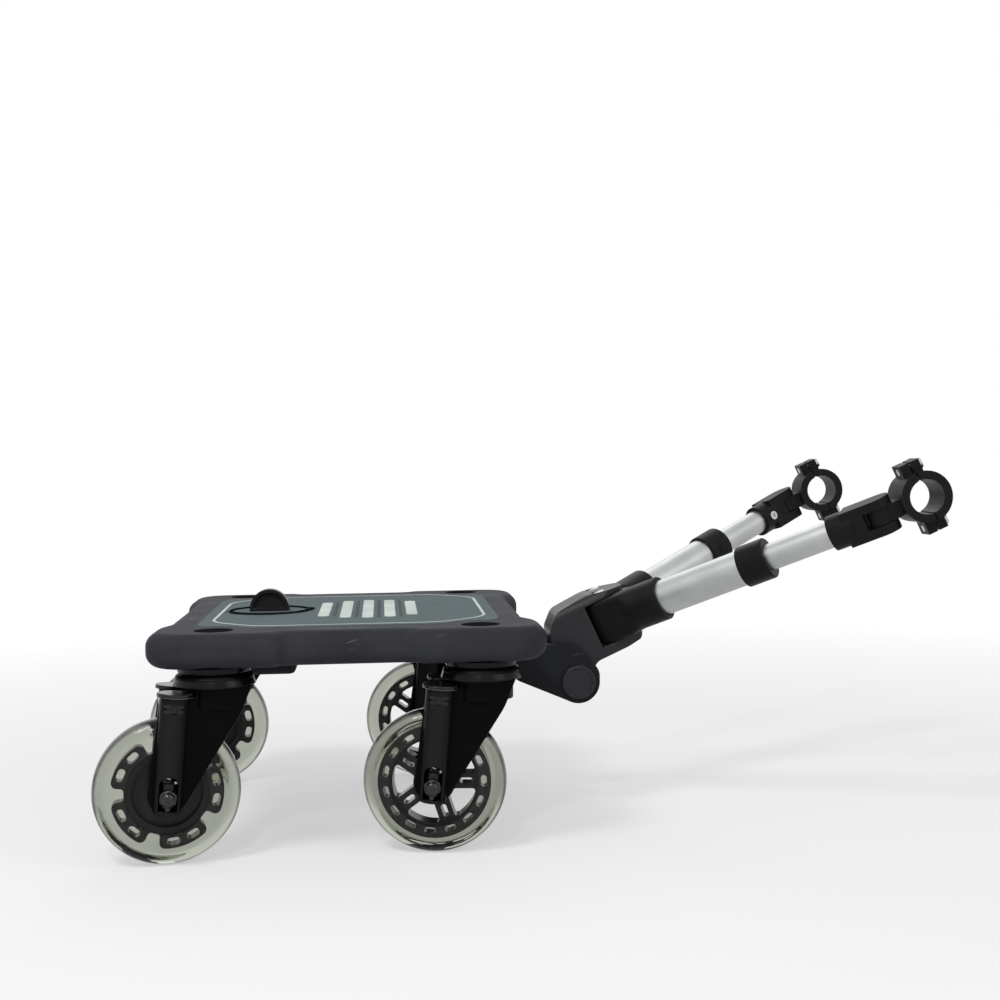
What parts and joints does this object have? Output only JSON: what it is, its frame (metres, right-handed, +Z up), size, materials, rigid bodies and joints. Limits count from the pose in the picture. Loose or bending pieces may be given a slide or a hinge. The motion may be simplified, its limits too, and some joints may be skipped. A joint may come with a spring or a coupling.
{
  "type": "buggy board",
  "caption": "Standing board on sprung swivel casters with clear wheels, and a tilting V coupling of telescopic arms whose clamps grip a pushchair's frame.",
  "frame": {"origin": "on the floor, under the middle of the whole part's box", "axes": "+X ahead to the pushchair, +Y to the board's left, +Z up"},
  "size_m": [0.6032, 0.3288, 0.27],
  "materials": {
    "deck_black": "fine moulded grain",
    "panel_grey": "printed grip sheet",
    "trim_black": "satin",
    "coupling_black": "moulded",
    "bright_steel": "zinc plated",
    "pin_black": "black",
    "fork_black": "moulded",
    "strut_black": "satin",
    "spring_steel": "drawn wire",
    "axle_steel": "blackened",
    "hub_black": "moulded",
    "clear_tyre": "clear cast polyurethane",
    "bearing_steel": "ground",
    "socket_black": "moulded",
    "tube_aluminium": "satin anodised",
    "clamp_black": "moulded"
  },
  "bodies": {
    "deck": {"deck_shell": "deck_black", "grip_panel": "panel_grey", "corner_caps": "trim_black", "kingpins": "bright_steel", "swivel_cups": "deck_black", "hinge_bracket": "coupling_black", "bracket_screws": "bright_steel", "hinge_pin": "pin_black", "plug_housing": "deck_black"},
    "plug": {"twist_plug": "trim_black"},
    "yoke": {"yoke": "coupling_black", "arm_pins": "bright_steel"},
    "rear_right_fork": {"rear_right_fork": "fork_black", "rear_right_strut_caps": "strut_black", "rear_right_strut_springs": "spring_steel"},
    "rear_right_carrier": {"rear_right_axle_shoes": "strut_black", "rear_right_axle": "axle_steel"},
    "rear_right_wheel": {"rear_right_hub": "hub_black", "rear_right_tyre": "clear_tyre", "rear_right_bearings": "bearing_steel"},
    "rear_left_fork": {"rear_left_fork": "fork_black", "rear_left_strut_caps": "strut_black", "rear_left_strut_springs": "spring_steel"},
    "rear_left_carrier": {"rear_left_axle_shoes": "strut_black", "rear_left_axle": "axle_steel"},
    "rear_left_wheel": {"rear_left_hub": "hub_black", "rear_left_tyre": "clear_tyre", "rear_left_bearings": "bearing_steel"},
    "front_right_fork": {"front_right_fork": "fork_black", "front_right_strut_caps": "strut_black", "front_right_strut_springs": "spring_steel"},
    "front_right_carrier": {"front_right_axle_shoes": "strut_black", "front_right_axle": "axle_steel"},
    "front_right_wheel": {"front_right_hub": "hub_black", "front_right_tyre": "clear_tyre", "front_right_bearings": "bearing_steel"},
    "front_left_fork": {"front_left_fork": "fork_black", "front_left_strut_caps": "strut_black", "front_left_strut_springs": "spring_steel"},
    "front_left_carrier": {"front_left_axle_shoes": "strut_black", "front_left_axle": "axle_steel"},
    "front_left_wheel": {"front_left_hub": "hub_black", "front_left_tyre": "clear_tyre", "front_left_bearings": "bearing_steel"},
    "right_arm": {"right_arm_socket": "socket_black", "right_outer_tube": "tube_aluminium", "right_tube_collar": "socket_black"},
    "right_slider": {"right_inner_tube": "tube_aluminium", "right_end_fitting": "clamp_black"},
    "right_clamp": {"right_clamp_body": "clamp_black", "right_clamp_cap": "clamp_black", "right_clamp_screws": "bright_steel"},
    "left_arm": {"left_arm_socket": "socket_black", "left_outer_tube": "tube_aluminium", "left_tube_collar": "socket_black"},
    "left_slider": {"left_inner_tube": "tube_aluminium", "left_end_fitting": "clamp_black"},
    "left_clamp": {"left_clamp_body": "clamp_black", "left_clamp_cap": "clamp_black", "left_clamp_screws": "bright_steel"}
  },
  "joints": [
    {"name": "plug_twist", "type": "hinge", "parent": "deck", "child": "plug", "pos_m": [-0.18922, 0.00143, 0.158], "axis": [0, 0, 1], "range_deg": [0, 90]},
    {"name": "rear_right_swivel", "type": "hinge", "parent": "deck", "child": "rear_right_fork", "pos_m": [-0.21822, -0.12757, 0.1287], "axis": [0, 0, 1], "continuous": true},
    {"name": "rear_right_suspension", "type": "slide", "parent": "rear_right_fork", "child": "rear_right_carrier", "axis": [0.086, 0.0144, 0.9962], "range_m": [0, 0.008], "stiffness_N_per_m": 8000, "springref_m": -0.004, "deforming": ["rear_right_strut_springs"]},
    {"name": "rear_right_roll", "type": "hinge", "parent": "rear_right_carrier", "child": "rear_right_wheel", "pos_m": [-0.25116, -0.13309, 0.05], "axis": [-0.165, 0.9863, 0], "continuous": true},
    {"name": "rear_left_swivel", "type": "hinge", "parent": "deck", "child": "rear_left_fork", "pos_m": [-0.21822, 0.13043, 0.1287], "axis": [0, 0, 1], "continuous": true},
    {"name": "rear_left_suspension", "type": "slide", "parent": "rear_left_fork", "child": "rear_left_carrier", "axis": [0.0869, 0.0061, 0.9962], "range_m": [0, 0.008], "stiffness_N_per_m": 8000, "springref_m": -0.004, "deforming": ["rear_left_strut_springs"]},
    {"name": "rear_left_roll", "type": "hinge", "parent": "rear_left_carrier", "child": "rear_left_wheel", "pos_m": [-0.25154, 0.1281, 0.05], "axis": [-0.0698, 0.9976, 0], "continuous": true},
    {"name": "front_right_swivel", "type": "hinge", "parent": "deck", "child": "front_right_fork", "pos_m": [-0.03422, -0.12757, 0.1287], "axis": [0, 0, 1], "continuous": true},
    {"name": "front_right_suspension", "type": "slide", "parent": "front_right_fork", "child": "front_right_carrier", "axis": [0.0867, -0.0091, 0.9962], "range_m": [0, 0.008], "stiffness_N_per_m": 8000, "springref_m": -0.004, "deforming": ["front_right_strut_springs"]},
    {"name": "front_right_roll", "type": "hinge", "parent": "front_right_carrier", "child": "front_right_wheel", "pos_m": [-0.06744, -0.12408, 0.05], "axis": [0.1045, 0.9945, 0], "continuous": true},
    {"name": "front_left_swivel", "type": "hinge", "parent": "deck", "child": "front_left_fork", "pos_m": [-0.03422, 0.13043, 0.1287], "axis": [0, 0, 1], "continuous": true},
    {"name": "front_left_suspension", "type": "slide", "parent": "front_left_fork", "child": "front_left_carrier", "axis": [0.087, -0.0046, 0.9962], "range_m": [0, 0.008], "stiffness_N_per_m": 8000, "springref_m": -0.004, "deforming": ["front_left_strut_springs"]},
    {"name": "front_left_roll", "type": "hinge", "parent": "front_left_carrier", "child": "front_left_wheel", "pos_m": [-0.06757, 0.13217, 0.05], "axis": [0.0523, 0.9986, 0], "continuous": true},
    {"name": "board_hinge", "type": "hinge", "parent": "deck", "child": "yoke", "pos_m": [0.04678, 0.00143, 0.101], "axis": [0, -1, 0], "range_deg": [-40, 25]},
    {"name": "right_spread", "type": "hinge", "parent": "yoke", "child": "right_arm", "pos_m": [0.07378, -0.01257, 0.1476], "axis": [0.4131, 0, -0.9107], "range_deg": [-17, 12]},
    {"name": "right_telescope", "type": "slide", "parent": "right_arm", "child": "right_slider", "axis": [0.7887, -0.5, 0.3578], "range_m": [-0.044, 0.02]},
    {"name": "right_clamp_swing", "type": "hinge", "parent": "right_slider", "child": "right_clamp", "pos_m": [0.25202, -0.12557, 0.22845], "axis": [-0.4131, 0, 0.9107], "range_deg": [-30, 30]},
    {"name": "left_spread", "type": "hinge", "parent": "yoke", "child": "left_arm", "pos_m": [0.07378, 0.01542, 0.1476], "axis": [-0.4131, 0, 0.9107], "range_deg": [-17, 12]},
    {"name": "left_telescope", "type": "slide", "parent": "left_arm", "child": "left_slider", "axis": [0.7887, 0.5, 0.3578], "range_m": [-0.044, 0.02]},
    {"name": "left_clamp_swing", "type": "hinge", "parent": "left_slider", "child": "left_clamp", "pos_m": [0.25202, 0.12843, 0.22845], "axis": [-0.4131, 0, 0.9107], "range_deg": [-30, 30]}
  ]
}
